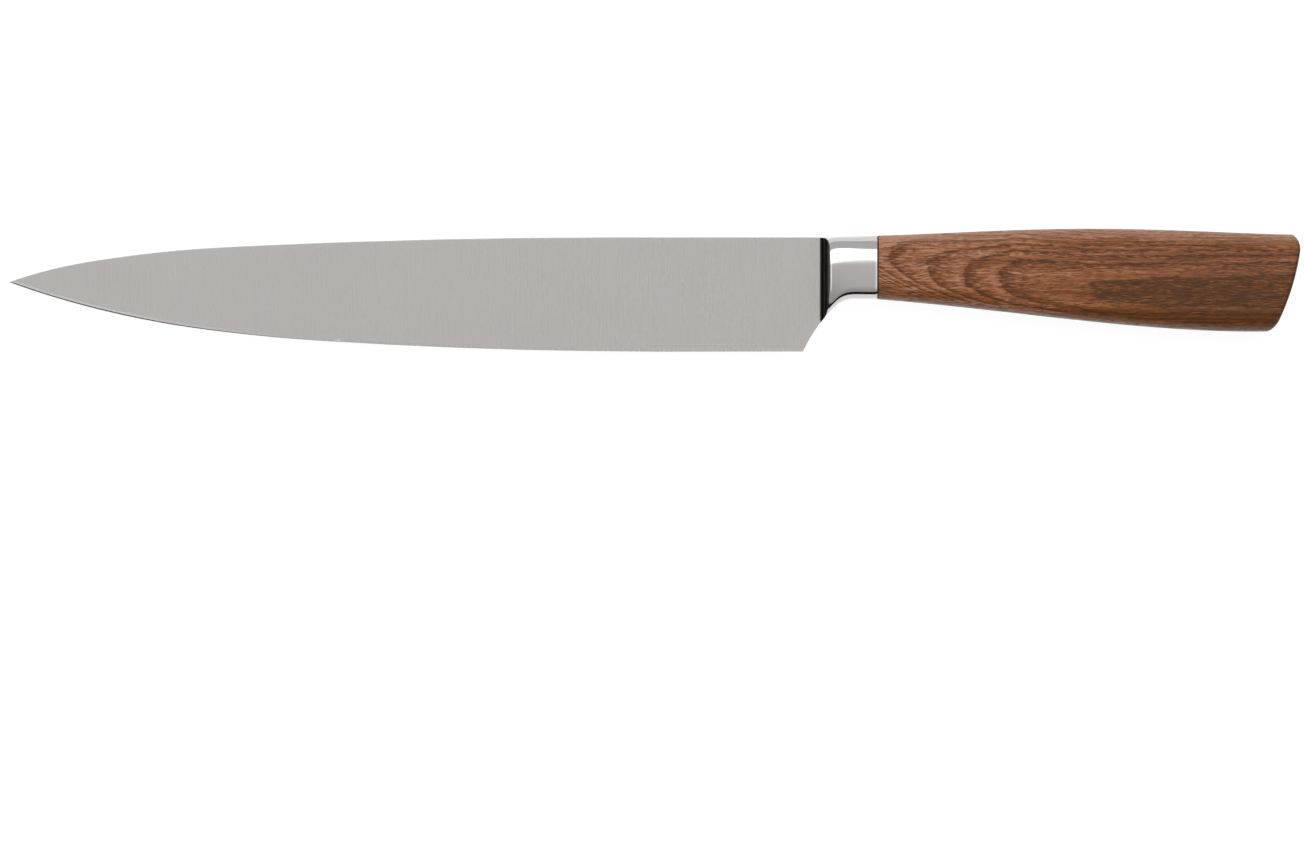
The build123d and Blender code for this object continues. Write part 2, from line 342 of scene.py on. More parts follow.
def circle_through(a, b, c):
    """Centre and radius of the circle through three points."""
    turn = 2 * (a.x * (b.y - c.y) + b.x * (c.y - a.y) + c.x * (a.y - b.y))
    sums = [p.length_squared for p in (a, b, c)]
    x = (sums[0] * (b.y - c.y) + sums[1] * (c.y - a.y) + sums[2] * (a.y - b.y)) / turn
    y = (sums[0] * (c.x - b.x) + sums[1] * (a.x - c.x) + sums[2] * (b.x - a.x)) / turn
    centre = Vector((x, y))
    return centre, (a - centre).length


def arc_between(centre, start, end):
    """Points on the short arc from start to end, without the last one."""
    out = start - centre
    turn = -out.angle_signed(end - centre)
    return [centre + Matrix.Rotation(turn * i / arc_points, 2) @ out for i in range(arc_points)]


def half_rib(top, roof, bottom, width, lower_width, side_crown, corner, lower_corner):
    """Half a rib as points (y, z), from the middle of the top round to the middle of the underside."""
    shoulder = Vector((top - crown, width / 2 - side_crown))
    eaves = Vector((top - roof, width / 2 - crown))
    foot = Vector((bottom + crown, lower_width / 2 - crown))
    highest = Vector((top, 0))
    widest = Vector(((top + bottom) / 2, width / 2))
    lowest = Vector((bottom, 0))
    roof_arc = circle_through(Vector((eaves.x, -eaves.y)), highest, eaves)
    side = circle_through(shoulder, widest, foot)
    sole = circle_through(foot, lowest, Vector((foot.x, -foot.y)))
    points = []
    start = highest
    for before, after, radius, near in ((roof_arc, side, corner, shoulder), (side, sole, lower_corner, foot)):
        crossings = intersect_sphere_sphere_2d(before[0], before[1] - radius, after[0], after[1] - radius)
        centre = min(crossings, key=lambda point: (point - near).length)
        leave = before[0] + (centre - before[0]).normalized() * before[1]
        arrive = after[0] + (centre - after[0]).normalized() * after[1]
        points += arc_between(before[0], start, leave) + arc_between(centre, leave, arrive)
        start = arrive
    return points + arc_between(sole[0], start, lowest) + [lowest]


print("points in half a rib", len(half_rib(**rib_sizes(0.0))))

# %% [markdown]
# ## The same lines on every rib
# The skin needs lines that run along the knife. Two of them are special: they follow the level of the blade's
# ground flat, where the bolster ends and the thin spine and throat go on ahead. So each rib is divided at
# those two marks, and evenly between them.

# %% Divide a rib
spine_steps = 4
side_steps = 92
throat_steps = 3


def divided_rib(x, inset=0.0):
    """The rib at x, or one set in from it, as evenly spaced points with marks at the level of the flat."""
    sizes = rib_sizes(min(x, chamfer_start))
    sizes["top"] -= inset
    sizes["bottom"] += inset
    for name in ("width", "lower_width"):
        sizes[name] -= 2 * inset
    for name in ("corner", "lower_corner"):
        sizes[name] -= inset
    points = np.array(half_rib(**sizes))
    reach = np.concatenate(([0.0], np.cumsum(np.linalg.norm(np.diff(points, axis=0), axis=1))))
    above = points[:, 1] - flat_height(x, points[:, 0])
    first = int(np.argmax(above > 0))
    last = len(above) - 1 - int(np.argmax(above[::-1] > 0))
    marks = [0.0]
    for i in (first, last + 1):
        share = above[i - 1] / (above[i - 1] - above[i])
        marks.append(reach[i - 1] + share * (reach[i] - reach[i - 1]))
    marks.append(reach[-1])
    places = [0.0]
    for start, end, steps in zip(marks, marks[1:], (spine_steps, side_steps, throat_steps)):
        places += list(np.linspace(start, end, steps + 1)[1:])
    return np.stack([np.interp(places, reach, points[:, 0]), np.interp(places, reach, points[:, 1])], axis=1)


rib_places = np.linspace(plunge_start, chamfer_start, 110)
ribs = np.stack([divided_rib(x) for x in rib_places])
print("ribs", ribs.shape)

# %% [markdown]
# ## Where the grinding wheel stopped
# The flats are ground with a wheel that has a rounded corner. It leaves a hollow in front of the bolster: a
# quarter round that starts flush with the flat, then a wall that leans back a little. The bolster's front rim
# is where that wall comes out through the skin, so each line of the skin is followed forward until it meets
# the wheel.

# %% The hollow's profile and the rim
plunge_radius = 1.9
wall_turn = math.radians(78)
hollow_top = plunge_radius * (1 - math.cos(wall_turn))
rim_round = 0.06


def wheel_reach(height):
    """How far back the wheel reaches at a height above the flat."""
    if height <= 0:
        return plunge_start
    if height < hollow_top:
        return plunge_start + math.sqrt(plunge_radius ** 2 - (plunge_radius - height) ** 2)
    return plunge_start + plunge_radius * math.sin(wall_turn) + (height - hollow_top) / math.tan(wall_turn)


def on_skin(line, x):
    """The point of a line of the skin at a place along the knife."""
    y = np.interp(x, rib_places, ribs[:, line, 0])
    z = np.interp(x, rib_places, ribs[:, line, 1])
    return Vector((x, y, z))


def above_flat(point):
    return point.z - flat_height(point.x, point.y)


def rim_place_of(line):
    """Where a line of the skin meets the wheel, found by halving the span that holds it."""
    near, far = plunge_start, chamfer_start
    if above_flat(on_skin(line, near)) <= 1e-6:
        return near
    for _ in range(40):
        middle = (near + far) / 2
        if middle < wheel_reach(above_flat(on_skin(line, middle))):
            near = middle
        else:
            far = middle
    return far


rims = [rim_place_of(line) for line in range(ribs.shape[1])]
print("rim runs from", round(min(rims), 2), "to", round(max(rims), 2))

# %% [markdown]
# ## Skin, rounded rim and wall in one sweep
# Each line becomes one path: along the skin to just behind the rim, up a faint lip, round the rim on a small
# curve, and down the wall and the hollow to the flat. Polishing leaves that lip, a third of a millimetre wide
# and a few hundredths high, and it catches the light as a white line along the rim, so it is modelled and not
# left to a bump.

# %% Paths from the joint to the blade
skin_rows = 34
lip_rows = 4
rim_rows = 4
lip_run = 0.34
lip_rise = math.tan(math.radians(7))
wall_levels = [hollow_top * share for share in (2.6, 1.7, 1.0)]
wall_levels += [plunge_radius * (1 - math.cos(wall_turn * share)) for share in np.linspace(0.93, 0, 14)]


def on_wall(rim, height):
    """The point of the wall straight ahead of a rim point, at a height above the flat."""
    x = wheel_reach(height)
    return Vector((x, rim.y, flat_height(x, rim.y) + height))


def lifted(line, x, lift):
    """A point of the skin, lifted off it by a small height."""
    along = on_skin(min(line + 1, ribs.shape[1] - 1), x) - on_skin(max(line - 1, 0), x)
    return on_skin(line, x) + Vector((0, along.z, -along.y)).normalized() * lift


def path_of(line):
    """One line of the bolster, from the joint forward and down to the flat."""
    rim = on_skin(line, rims[line])
    height = above_flat(rim)
    fullness = min(1.0, max(0.0, height / hollow_top))
    rounding = rim_round * fullness
    lip = lip_run * fullness
    back = rims[line] + rounding + lip
    skin_run = back - chamfer_start
    path = [on_skin(line, chamfer_start + skin_run * i / skin_rows) for i in range(skin_rows + 1)]
    if height <= 1e-6:
        return path + [rim] * (lip_rows + rim_rows + len(wall_levels))
    for i in range(1, lip_rows + 1):
        run = lip * i / lip_rows
        path.append(lifted(line, back - run, run * lip_rise))
    lip_end = path[-1]
    corner = lifted(line, rims[line], (lip + rounding) * lip_rise)
    below = on_wall(rim, height - rounding)
    for i in range(1, rim_rows + 1):
        share = i / rim_rows
        path.append(lip_end.lerp(corner, share).lerp(corner.lerp(below, share), share))
    return path + [on_wall(rim, min(height - rounding, level)) for level in wall_levels]


paths = [path_of(line) for line in range(len(rims))]
rear = divided_rib(bolster_end, chamfer_inset)
rows = [[Vector((bolster_end, y, z)) for y, z in rear]] + [list(row) for row in zip(*paths)]
print("rows", len(rows), "lines", len(paths))

# %% Sweep half the bolster and mirror it
steel = bmesh.new()
sweep(steel, rows)
for vert in steel.verts:
    if abs(vert.co.z) < 1e-4:
        vert.co.z = 0
bmesh.ops.remove_doubles(steel, verts=steel.verts, dist=weld)
bmesh.ops.dissolve_degenerate(steel, edges=steel.edges, dist=weld)
everything = steel.verts[:] + steel.edges[:] + steel.faces[:]
bmesh.ops.mirror(steel, geom=everything, matrix=Matrix.Identity(4), merge_dist=weld, axis="Z")
print("bolster faces", len(steel.faces), "open edges", sum(edge.is_boundary for edge in steel.edges))

# %% [markdown]
# ## One forging again
# The three parts are put into one mesh and their open ends are joined: a narrow band of faces at the plunge,
# and the bolster's rear face round the tang's root. Then the normals are made to agree.

# %% Join blade, bolster and tang
polished, satin, sharpened, hollow = range(4)


def add_part(mesh, part, finish):
    """Copies a part into the mesh with one finish on all its faces."""
    for face in part.faces:
        face.material_index = finish
    data = bpy.data.meshes.new("part")
    part.to_mesh(data)
    part.free()
    mesh.from_mesh(data)
    bpy.data.meshes.remove(data)


for vert in {v for edge in cut_loop(tang_part, bolster_end + join_gap) for v in edge.verts}:
    vert.co.x = bolster_end
for face in steel.faces:
    face.material_index = polished
add_part(steel, blade_part, satin)
add_part(steel, tang_part, satin)
front = cut_loop(steel, plunge_start) + cut_loop(steel, plunge_start - join_gap)
bridged = bmesh.ops.bridge_loops(steel, edges=front)["faces"]
for face in bridged:
    face.material_index = satin
rear_loops = cut_loop(steel, bolster_end)
filled = bmesh.ops.triangle_fill(steel, edges=rear_loops, use_beauty=True, use_dissolve=False)["geom"]
print("bridged", len(bridged), "filled", sum(isinstance(item, bmesh.types.BMFace) for item in filled))
print("open edges left", sum(edge.is_boundary for edge in steel.edges),
      "edges with more than two faces", sum(len(edge.link_faces) > 2 for edge in steel.edges))
bmesh.ops.recalc_face_normals(steel, faces=steel.faces)

# %% Give each face its finish and place the forging


def is_sharpened(face):
    """True for the narrow faces that lean down to the cutting edge."""
    return abs(face.normal.z) > 0.7 and face.normal.y < -0.08 and face.normal.x < 0.05


satin_into_hollow = 0.05
wall_thickness = 0.1
steel_crease = 32
bevel_crease = math.radians(6)


def finish_in_hollow(face):
    """The hollow's finish: satin at its foot, smoother and painted dark above. None if the face isn't in the
    hollow.
    """
    middle = face.calc_center_median()
    height = abs(middle.z) - flat_height(middle.x, middle.y)
    if middle.x > 1 or abs(middle.x - wheel_reach(height)) > wall_thickness:
        return None
    return satin if height < satin_into_hollow else hollow


for face in steel.faces:
    if face.material_index == satin and face.calc_center_median().x < plunge_start and is_sharpened(face):
        face.material_index = sharpened
    elif face.material_index == polished and finish_in_hollow(face) is not None:
        face.material_index = finish_in_hollow(face)
print("sharpened faces", sum(face.material_index == sharpened for face in steel.faces),
      "hollow faces", sum(face.material_index == hollow for face in steel.faces))
smooth_up_to(steel, steel_crease)
for edge in steel.edges:
    on_bevel = any(face.material_index == sharpened for face in edge.link_faces)
    if on_bevel and edge.calc_face_angle(0) > bevel_crease:
        edge.smooth = False
steel.transform(to_frame)
forging = new_piece("forged_blade", steel, "blade")

# %% [markdown]
# ## Two halves of walnut
# The handle is glued up from two halves round the tang, shaped on a belt and oiled. Its CAD skin is already
# fine and even, and wood isn't a mirror, so a merged copy of each half is enough. Smooth shading stops at the
# glue line and at the front end, as it does on the real handle.

# %% Merge and shade the halves
wood_crease = 35
glue_line_reach = 0.01 * MM

halves = []
for side in ("left", "right"):
    half = merged_copy(f"{side}_handle_half")
    smooth_up_to(half, wood_crease)
    for edge in half.edges:
        in_glue_line = all(abs(vert.co.z - rim_place.z) < glue_line_reach for vert in edge.verts)
        if in_glue_line and any(abs(face.normal.z) < 0.7 for face in edge.link_faces):
            edge.smooth = False
    halves.append(new_piece(f"{side}_walnut_half", half, f"{side}_handle_half"))

# %% [markdown]
# ## Building finishes from nodes
# Every finish is procedural. A small recipe helper adds nodes and links them in one line each, so that a
# pattern reads like a formula. Patterns are measured in the drawing's millimetres, taken from Object
# coordinates.

# %% A recipe for a finish


class Recipe:
    """A material with one Principled shader, and short ways to add what feeds it."""

    def __init__(self, name, **sockets):
        self.material = bpy.data.materials.new(name)
        self.material.use_nodes = True
        self.tree = self.material.node_tree
        self.shader = self.tree.nodes["Principled BSDF"]
        for socket, value in sockets.items():
            self.shader.inputs[socket.replace("_", " ")].default_value = value

    def add(self, kind, inputs, output=0, **settings):
        """One node. Inputs are values or other nodes' outputs, by place or by name."""
        node = self.tree.nodes.new(kind)
        for setting, value in settings.items():
            setattr(node, setting, value)
        for socket, value in inputs.items():
            if isinstance(value, bpy.types.NodeSocket):
                self.tree.links.new(value, node.inputs[socket])
            else:
                node.inputs[socket].default_value = value
        return node.outputs[output]

    def math(self, operation, a, b=0.0, clamp=False):
        return self.add("ShaderNodeMath", {0: a, 1: b}, operation=operation, use_clamp=clamp)

    def plus(self, a, b):
        return self.math("ADD", a, b)

    def minus(self, a, b):
        return self.math("SUBTRACT", a, b)

    def times(self, a, b):
        return self.math("MULTIPLY", a, b)

    def rising(self, value, start, end):
        """Rises from 0 where the value is at the start to 1 where it is at the end."""
        return self.math("DIVIDE", self.minus(value, start), end - start, clamp=True)

    def split(self, vector):
        """The x, y and z of a vector."""
        node = self.tree.nodes.new("ShaderNodeSeparateXYZ")
        self.tree.links.new(vector, node.inputs[0])
        return node.outputs

    def place(self):
        """The place on the knife in the drawing's millimetres."""
        object_place = self.add("ShaderNodeTexCoord", {}, output="Object")
        shift = [-side / MM for side in rim_place]
        values = {"Vector": object_place, "Location": shift, "Scale": [1 / MM] * 3}
        return self.add("ShaderNodeMapping", values)

    def stretched(self, vector, sizes, shift=(0, 0, 0)):
        """A vector in which one unit is the given sizes in millimetres."""
        values = {"Vector": vector, "Location": shift, "Scale": [1 / size for size in sizes]}
        return self.add("ShaderNodeMapping", values)

    def noise(self, vector, detail=2.0, roughness=0.5):
        return self.add("ShaderNodeTexNoise", {"Vector": vector, "Scale": 1.0, "Detail": detail,
                                               "Roughness": roughness})

    def ramp(self, value, stops):
        """A colour ramp through (place, grey or colour) stops."""
        ramp = self.tree.nodes.new("ShaderNodeValToRGB")
        elements = ramp.color_ramp.elements
        while len(elements) < len(stops):
            elements.new(0.5)
        for element, (place, shade) in zip(elements, stops):
            element.position = place
            element.color = (*shade, 1) if isinstance(shade, tuple) else (shade, shade, shade, 1)
        self.tree.links.new(value, ramp.inputs[0])
        return ramp.outputs[0]

    def mix(self, share, a, b, blend="MIX"):
        """A mix of two colours."""
        node = self.tree.nodes.new("ShaderNodeMix")
        node.data_type = "RGBA"
        node.blend_type = blend
        for socket, value in zip((node.inputs[0], node.inputs[6], node.inputs[7]), (share, a, b)):
            if isinstance(value, bpy.types.NodeSocket):
                self.tree.links.new(value, socket)
            else:
                socket.default_value = (*value, 1) if isinstance(value, tuple) else value
        return node.outputs[2]

    def feed(self, socket, value):
        self.tree.links.new(value, self.shader.inputs[socket])

    def bump(self, height, distance, strength=1.0):
        normal = self.add("ShaderNodeBump", {"Height": height, "Distance": distance, "Strength": strength})
        self.feed("Normal", normal)


# %% [markdown]
# ## Steel in four finishes
# The flats are ground across the blade, which leaves fine lines from the spine to the edge. The bolster is
# polished, with only a ghost of such lines. The sharpened edge is honed, and its colour is painted brighter,
# a painted highlight. The hollow in front of the bolster looks nearly black from above, because it mirrors
# the dark end of a studio. A dark card of that size would darken the whole blade from other sides, so the
# hollow's colour is painted darker instead, a painted dark reflection that does part of the card's work.

# %% Steel
steel_tint = (0.615, 0.586, 0.563)
broad_line = (0.9, 60, 60)
fine_line = (0.22, 25, 25)
cloud = (24, 14, 14)
fine_share = 0.6
cloud_share = 0.25


def steel_finish(name, roughness, line_spread, line_depth, drawn_out=0.0, shade=1.0):
    """Steel with grinding lines across the knife, which draw its reflections out along the knife."""
    recipe = Recipe(name, Metallic=1.0, Anisotropic=drawn_out)
    recipe.feed("Tangent", recipe.add("ShaderNodeCombineXYZ", {"X": 1.0}))
    place = recipe.place()
    broad = recipe.noise(recipe.stretched(place, broad_line), detail=2.0)
    fine = recipe.noise(recipe.stretched(place, fine_line), detail=3.0, roughness=0.6)
    clouds = recipe.noise(recipe.stretched(place, cloud), detail=1.0)
    lines = recipe.plus(recipe.times(broad, 1 - fine_share), recipe.times(fine, fine_share))
    both = recipe.plus(recipe.times(lines, 1 - cloud_share), recipe.times(clouds, cloud_share))
    spreads = (1 - line_spread, 1 + line_spread)
    dark, pale = (tuple(c * shade * spread for c in steel_tint) for spread in spreads)
    recipe.feed("Base Color", recipe.ramp(both, [(0.3, dark), (0.7, pale)]))
    rough = recipe.ramp(lines, [(0.3, roughness * 0.9), (0.7, roughness * 1.12)])
    recipe.feed("Roughness", rough)
    recipe.bump(fine, line_depth * MM)
    return recipe.material


steel_finishes = {
    polished: steel_finish("polished_steel", 0.12, 0.03, 0.0006),
    satin: steel_finish("satin_steel", 0.28, 0.05, 0.003, drawn_out=0.95, shade=0.9),
    # Honed steel: its colour is raised 1.42 times, a painted highlight along the bevel.
    sharpened: steel_finish("honed_steel_painted_bright", 0.26, 0.03, 0.001, shade=1.42),
    # Hollow steel: its colour is cut to 0.2, a painted dark reflection in the hollow.
    hollow: steel_finish("hollow_steel_painted_dark", 0.2, 0.03, 0.001, shade=0.2),
}
for index in sorted(steel_finishes):
    forging.data.materials.append(steel_finishes[index])
print("steel finishes", [material.name for material in forging.data.materials])

# %% [markdown]
# ## Walnut grain
# Sawn along the trunk, walnut shows nested arches where the saw runs nearly level with a growth ring, and
# straight lines where it cuts through many rings. Here the rings are one field over the whole block. Its
# value grows along the knife, quickly over four close arches and slowly over a last wide one, and it falls
# away from an axis that slopes down and levels off. Equal values make arches that open towards the butt and
# end in straight grain along the back and the belly. The same field runs through the wood, so both sides and
# the back agree.

# %% The rings of the walnut
ring_start = 14.4
ring_width = 9.45
close_arches_end = 47.0
wide_arch_run = 23.0
wide_arch_rise = 0.25
straight_rise = 0.04
axis_height = -4.2
axis_fall = 0.42
axis_bend = 0.006
wide_arch_fall = 0.13
face_depth = 8.3
depth_lead = 0.85
depth_drop = 0.12
upper_power, upper_fall = 2.6, 0.055
lower_power, lower_fall = 3.1, 0.06
wave_height = 5.0
ripple_height = 1.8


def ring_field(recipe, x, y, z):
    """The field whose equal values are the growth rings."""
    depth = recipe.minus(z, face_depth)
    along = recipe.plus(x, recipe.times(depth, depth_lead))
    close = recipe.math("MINIMUM", along, close_arches_end)
    far = recipe.math("MAXIMUM", recipe.minus(along, close_arches_end), 0.0)
    wide = recipe.math("MINIMUM", far, wide_arch_run)
    past_start = recipe.minus(close, ring_start)
    bend = recipe.minus(recipe.times(past_start, axis_bend), axis_fall)
    axis = recipe.plus(recipe.times(past_start, bend), axis_height)
    axis = recipe.minus(axis, recipe.times(wide, wide_arch_fall))
    off_axis = recipe.minus(y, recipe.plus(axis, recipe.times(depth, depth_drop)))
    above = recipe.math("POWER", recipe.math("MAXIMUM", off_axis, 0.0), upper_power)
    below = recipe.math("POWER", recipe.math("MAXIMUM", recipe.times(off_axis, -1.0), 0.0), lower_power)
    fall = recipe.plus(recipe.times(above, upper_fall), recipe.times(below, lower_fall))
    beyond = recipe.plus(recipe.times(wide, wide_arch_rise), recipe.times(far, straight_rise))
    return recipe.minus(recipe.plus(close, beyond), fall)


def early_wood(recipe, place, field):
    """How much of a place is the dark, porous wood with which each ring starts."""
    waves = recipe.noise(recipe.stretched(place, (30, 4.5, 6)), detail=2.0)
    ripple = recipe.noise(recipe.stretched(place, (7, 1.1, 1.5)), detail=3.0)
    wobble = recipe.plus(recipe.times(recipe.minus(waves, 0.5), wave_height),
                         recipe.times(recipe.minus(ripple, 0.5), ripple_height))
    rings = recipe.math("DIVIDE", recipe.minus(recipe.plus(field, wobble), ring_start), ring_width)
    return recipe.ramp(recipe.math("FRACT", rings), [(0.0, 0.55), (0.05, 0.95), (0.2, 0.72), (0.5, 0.35),
                                                     (0.85, 0.08), (1.0, 0.3)])


# %% [markdown]
# ## Fibres, flecks and pores
# Between the rings, walnut is made of fine dashes that waver along the grain. All of them are stretched
# noise, moved sideways by one slow noise so that they bend together.

# %% The fine grain
waver_height = 1.5
pores_in_early = 0.2


def fine_grain(recipe, place, y, early):
    """The fibres, flecks, dark lines in the back and open pores of the wood."""
    waver = recipe.noise(recipe.stretched(place, (8, 5, 5)), detail=1.0)
    sideways = recipe.add("ShaderNodeCombineXYZ", {"Y": recipe.times(recipe.minus(waver, 0.5), waver_height)})
    grain = recipe.add("ShaderNodeVectorMath", {0: place, 1: sideways}, operation="ADD")
    fibres = recipe.noise(recipe.stretched(grain, (14, 0.55, 0.8)), detail=4.0, roughness=0.62)
    flecks = recipe.noise(recipe.stretched(grain, (2.6, 0.36, 0.5)), detail=1.0)
    pore_noise = recipe.noise(recipe.stretched(grain, (2.2, 0.26, 0.3)), detail=1.0)
    pore_level = recipe.plus(pore_noise, recipe.times(early, pores_in_early))
    pores = recipe.ramp(pore_level, [(0.6, 0.0), (0.68, 1.0)])
    line_noise = recipe.noise(recipe.stretched(grain, (16, 0.4, 0.5)), detail=2.0)
    lines = recipe.times(recipe.ramp(line_noise, [(0.56, 0.0), (0.68, 1.0)]), recipe.rising(y, -11.0, -4.75))
    return fibres, flecks, lines, pores


# %% [markdown]
# ## From shade to colour
# One value says how dark the wood is at each place. The rings are deep near the bolster and calm towards the
# butt, the wood is paler at the bolster and darker at the lower end of the butt, and a faint painted shade
# darkens it towards the belly. The back and the belly, which face sideways, get a painted sheen that makes
# them pale. The butt shows end grain, which is nearly black.

# %% Shade and colour of the walnut
base_shade = 0.02
ring_depth_at_bolster = 0.24
ring_depth_loss = 0.13
calm_shade = 0.06
fibre_depth = 0.68
streak_depth = 0.38
line_depth_in_back = 0.11
fleck_depth = 0.3
fleck_depth_in_early = 0.6
# Painted shade towards the belly, per millimetre:
painted_shade_towards_belly = -0.001
butt_shade = 0.15
# Painted sheen on the back and the belly: how much paler it makes the shade.
bolster_paleness = 0.105
painted_sheen_paleness = 0.25
wood_colours = [(0.36, (0.54, 0.265, 0.16)), (0.58, (0.325, 0.107, 0.031)), (0.78, (0.175, 0.052, 0.006)),
                (0.98, (0.095, 0.027, 0.002))]
pore_colour = (0.065, 0.025, 0.006)
# Colour of the painted sheen on the back and the belly.
painted_sheen_colour = (0.6, 0.36, 0.25)
end_grain_colour = (0.045, 0.022, 0.014)


def wood_shade(recipe, place, early, fibres, flecks, lines):
    """How dark the wood is before the painted sheen, from about 0.36 where it is pale to 0.98."""
    x, y, _ = recipe.split(place)
    calm = recipe.rising(x, 50.0, 62.0)
    ring_depth = recipe.minus(ring_depth_at_bolster, recipe.times(calm, ring_depth_loss))
    streaks = recipe.noise(recipe.stretched(place, (60, 2.6, 4)), detail=2.0)
    fleck_share = recipe.plus(recipe.times(early, fleck_depth_in_early), fleck_depth)
    # Painted shade: the wood is darkened a little towards the belly.
    belly = recipe.times(recipe.plus(y, 8.0), painted_shade_towards_belly)
    low_butt = recipe.times(recipe.rising(x, 55.0, 105.0), recipe.rising(y, -3.0, -15.0))
    shade = recipe.plus(recipe.times(early, ring_depth), recipe.times(fibres, fibre_depth))
    for part in (recipe.times(calm, calm_shade), recipe.times(lines, line_depth_in_back),
                 recipe.times(streaks, streak_depth), recipe.times(recipe.minus(flecks, 0.5), fleck_share),
                 belly, recipe.times(low_butt, butt_shade), base_shade):
        shade = recipe.plus(shade, part)
    return recipe.minus(shade, recipe.times(recipe.rising(x, 60.0, 20.0), bolster_paleness))


def wood_finish():
    """Oiled walnut with arches, straight grain and pores."""
    recipe = Recipe("oiled_walnut", Roughness=0.4, Specular_IOR_Level=0.22,
                    Coat_Weight=0.1, Coat_Roughness=0.3)
    place = recipe.place()
    x, y, z = recipe.split(place)
    early = early_wood(recipe, place, ring_field(recipe, x, y, z))
    fibres, flecks, lines, pores = fine_grain(recipe, place, y, early)
    shade = wood_shade(recipe, place, early, fibres, flecks, lines)
    facing_x, facing_y, _ = recipe.split(recipe.add("ShaderNodeTexCoord", {}, output="Normal"))
    upwards = recipe.plus(recipe.times(facing_y, 0.5), 0.5)
    # Painted sheen: faces turned to the back or the belly are painted paler.
    painted_sheen = recipe.ramp(upwards, [(0.02, 0.4), (0.15, 0.0), (0.65, 0.0), (0.97, 0.6)])
    end_grain = recipe.ramp(facing_x, [(0.45, 0.0), (0.85, 1.0)])
    colour = recipe.ramp(recipe.minus(shade, recipe.times(painted_sheen, painted_sheen_paleness)), wood_colours)
    colour = recipe.mix(recipe.times(pores, 0.7), colour, pore_colour)
    colour = recipe.mix(recipe.times(painted_sheen, 0.6), colour, painted_sheen_colour)
    colour = recipe.mix(recipe.times(end_grain, 0.8), colour, end_grain_colour)
    recipe.feed("Base Color", colour)
    recipe.bump(recipe.minus(recipe.times(fibres, 0.25), pores), 0.05 * MM, 0.6)
    recipe.feed("Roughness", recipe.plus(0.38, recipe.times(pores, 0.25)))
    return recipe.material


walnut = wood_finish()
for half in halves:
    half.data.materials.append(walnut)
print("walnut nodes", len(walnut.node_tree.nodes))

# %% [markdown]
# ## Fibre, adhesive and pins
# Three CAD nodes keep their own shapes: the thin spacer of dark vulcanised fibre, and the adhesive and the
# pins, which are sealed in the handle. They get plain finishes with a little unevenness of their own.

# %% Finishes of the plain nodes


def plain_finish(name, dark, pale, roughness, grain, **sockets):
    """A finish that varies a little between two colours."""
    recipe = Recipe(name, **sockets)
    speckle = recipe.noise(recipe.stretched(recipe.place(), (grain, grain, grain)), detail=3.0)
    recipe.feed("Base Color", recipe.ramp(speckle, [(0.3, dark), (0.7, pale)]))
    recipe.feed("Roughness", recipe.ramp(speckle, [(0.3, roughness), (0.7, roughness + 0.1)]))
    recipe.bump(speckle, 0.01 * MM)
    return recipe.material


plain_finishes = {
    "handle_spacer": plain_finish("fibre", (0.016, 0.009, 0.007), (0.035, 0.02, 0.014), 0.5, 0.4),
    "tang_adhesive": plain_finish("adhesive", (0.4, 0.32, 0.17), (0.52, 0.43, 0.25), 0.35, 2.0),
    "hidden_pins": plain_finish("drawn_steel", (0.45, 0.44, 0.43), (0.55, 0.54, 0.53), 0.3, 0.3,
                                Metallic=1.0),
}
for node, material in plain_finishes.items():
    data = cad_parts[node].data
    data.materials.clear()
    data.materials.append(material)

# %% [markdown]
# ## The studio
# The photograph is a plain product shot from straight above on white. Polished steel only shows what is
# around it, so the studio is built from what the bolster reflects: a pale room, one large soft light behind
# the spine, two smaller ones towards the butt and the tip, and small black cards at both ends and below the
# cutting edge. The cards are props that the camera doesn't see.

# %% Floor, cards and light


def card(name, corners, colour):
    """A flat prop of the studio."""
    mesh = bmesh.new()
    mesh.faces.new([mesh.verts.new(corner) for corner in corners])
    data = bpy.data.meshes.new(name)
    mesh.to_mesh(data)
    mesh.free()
    prop = bpy.data.objects.new(name, data)
    bpy.context.scene.collection.objects.link(prop)
    finish = Recipe(name, Roughness=0.9)
    finish.shader.inputs["Base Color"].default_value = (*colour, 1)
    finish.shader.inputs["Specular IOR Level"].default_value = 0.0
    data.materials.append(finish.material)
    return prop, finish


floor_reach = 3.0
floor_colour = (0.17, 0.17, 0.17)
floor_glow = 0.92
floor_corners = [(-floor_reach, -floor_reach, 0), (floor_reach, -floor_reach, 0),
                 (floor_reach, floor_reach, 0), (-floor_reach, floor_reach, 0)]
_, floor_finish = card("floor", floor_corners, floor_colour)
ray = floor_finish.tree.nodes.new("ShaderNodeLightPath")
seen = floor_finish.math("ADD", ray.outputs["Is Camera Ray"], ray.outputs["Is Glossy Ray"])
seen = floor_finish.math("ADD", seen, ray.outputs["Is Transmission Ray"], clamp=True)
floor_finish.shader.inputs["Emission Color"].default_value = (1, 1, 1, 1)
floor_finish.feed("Emission Strength", floor_finish.math("MULTIPLY", seen, floor_glow))

black = (0.012, 0.012, 0.012)


def black_card(name, start, end, bottom, top):
    """A black card that stands upright over a line on the floor, out of the camera's sight."""
    corners = [(*start, bottom), (*end, bottom), (*end, top), (*start, top)]
    card(name, corners, black)[0].visible_camera = False


black_card("tip_card", (-0.9, -0.2), (-0.9, 0.3), 0.0, 1.3)
black_card("butt_card", (0.62, -0.3), (0.62, 0.1), 0.0, 0.4)
black_card("edge_card", (-0.5, -0.5), (0.5, -0.5), 0.01, 0.26)

# %% The soft lights and the pale room


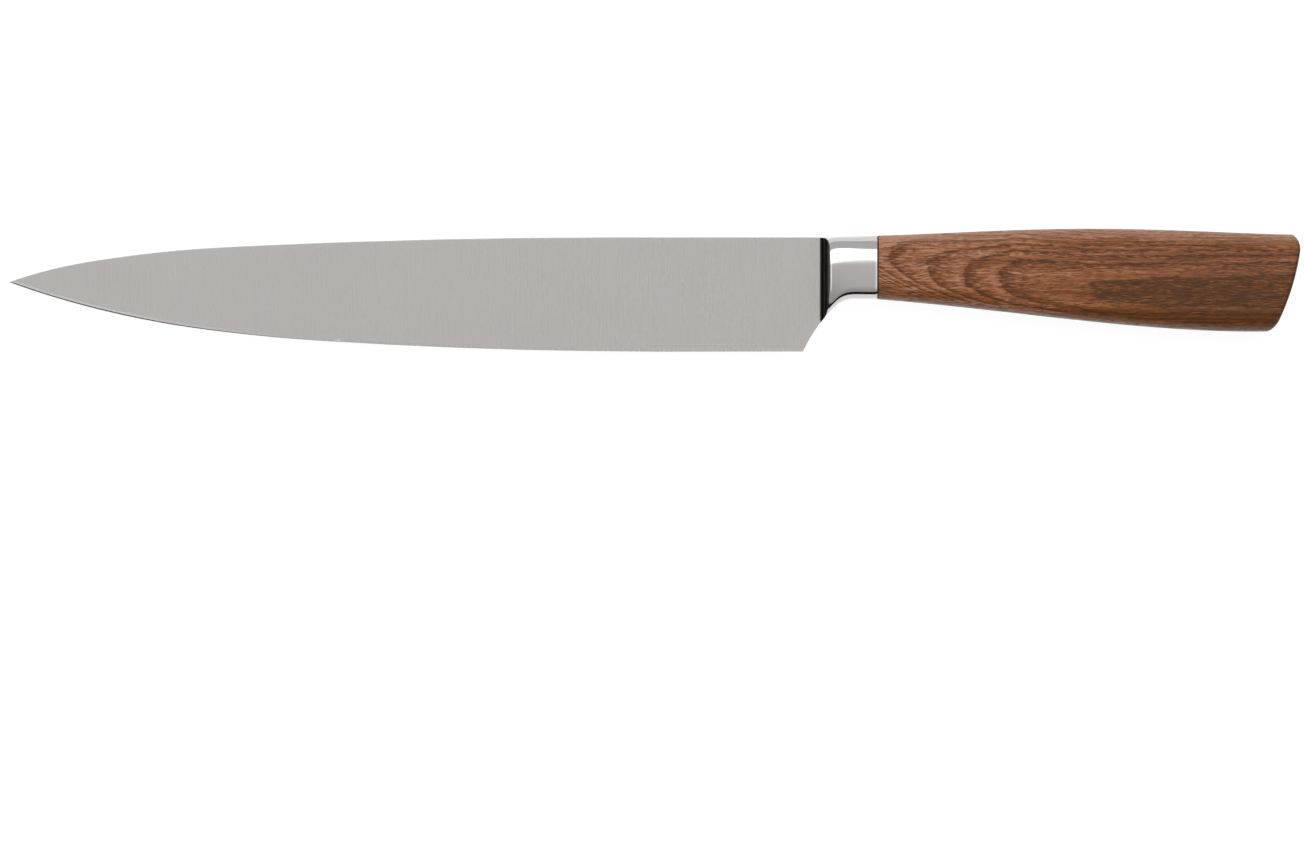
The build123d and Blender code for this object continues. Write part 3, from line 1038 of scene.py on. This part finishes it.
def softbox(name, place, width, height, brightness):
    """A rectangular soft light that hangs level over the knife. Brightness 1 looks white."""
    data = bpy.data.lights.new(name, "AREA")
    data.shape = "RECTANGLE"
    data.size = width
    data.size_y = height
    data.energy = brightness * width * height * math.pi
    lamp = bpy.data.objects.new(name, data)
    lamp.location = place
    lamp.visible_camera = False
    bpy.context.scene.collection.objects.link(lamp)


softbox("spine_softbox", (0.0, 0.316, 1.05), 1.3, 0.416, 2.2)
softbox("rim_light", (0.3, -0.1, 1.05), 0.2, 1.5, 0.8)
softbox("tip_light", (-0.38, -0.08, 1.05), 0.5, 0.26, 0.5)

room = bpy.data.worlds.new("room")
room.use_nodes = True
direction = room.node_tree.nodes.new("ShaderNodeTexCoord")
split_direction = room.node_tree.nodes.new("ShaderNodeSeparateXYZ")
shade_of_wall = room.node_tree.nodes.new("ShaderNodeMapRange")
shade_of_wall.interpolation_type = "SMOOTHSTEP"
for socket, value in {"From Min": -0.9, "From Max": -0.1, "To Min": 0.42, "To Max": 0.64}.items():
    shade_of_wall.inputs[socket].default_value = value
background = room.node_tree.nodes["Background"]
room.node_tree.links.new(direction.outputs["Generated"], split_direction.inputs[0])
room.node_tree.links.new(split_direction.outputs["Y"], shade_of_wall.inputs["Value"])
room.node_tree.links.new(shade_of_wall.outputs[0], background.inputs["Color"])
background.inputs["Strength"].default_value = 1.0
bpy.context.scene.world = room

# %% [markdown]
# ## The camera
# It looks straight down with a long lens. At the knife's height its view is as wide as the photograph, in
# which one millimetre of the knife takes up a little under four pixels.

# %% Camera
photo_size = (1304, 868)
pixels_per_mm = 3.9076
view_middle = (-0.00047, -0.03681)
knife_height = 0.00875
lens = 300.0

camera_data = bpy.data.cameras.new("camera")
camera_data.lens = lens
camera_data.sensor_width = 36.0
camera_data.sensor_fit = "HORIZONTAL"
camera = bpy.data.objects.new("camera", camera_data)
view_width = photo_size[0] / pixels_per_mm * MM
distance = view_width * lens / camera_data.sensor_width
camera.location = (*view_middle, knife_height + distance)
bpy.context.scene.collection.objects.link(camera)
bpy.context.scene.camera = camera
bpy.context.scene.view_settings.view_transform = "Standard"
print("camera is", round(distance, 3), "m above the knife")
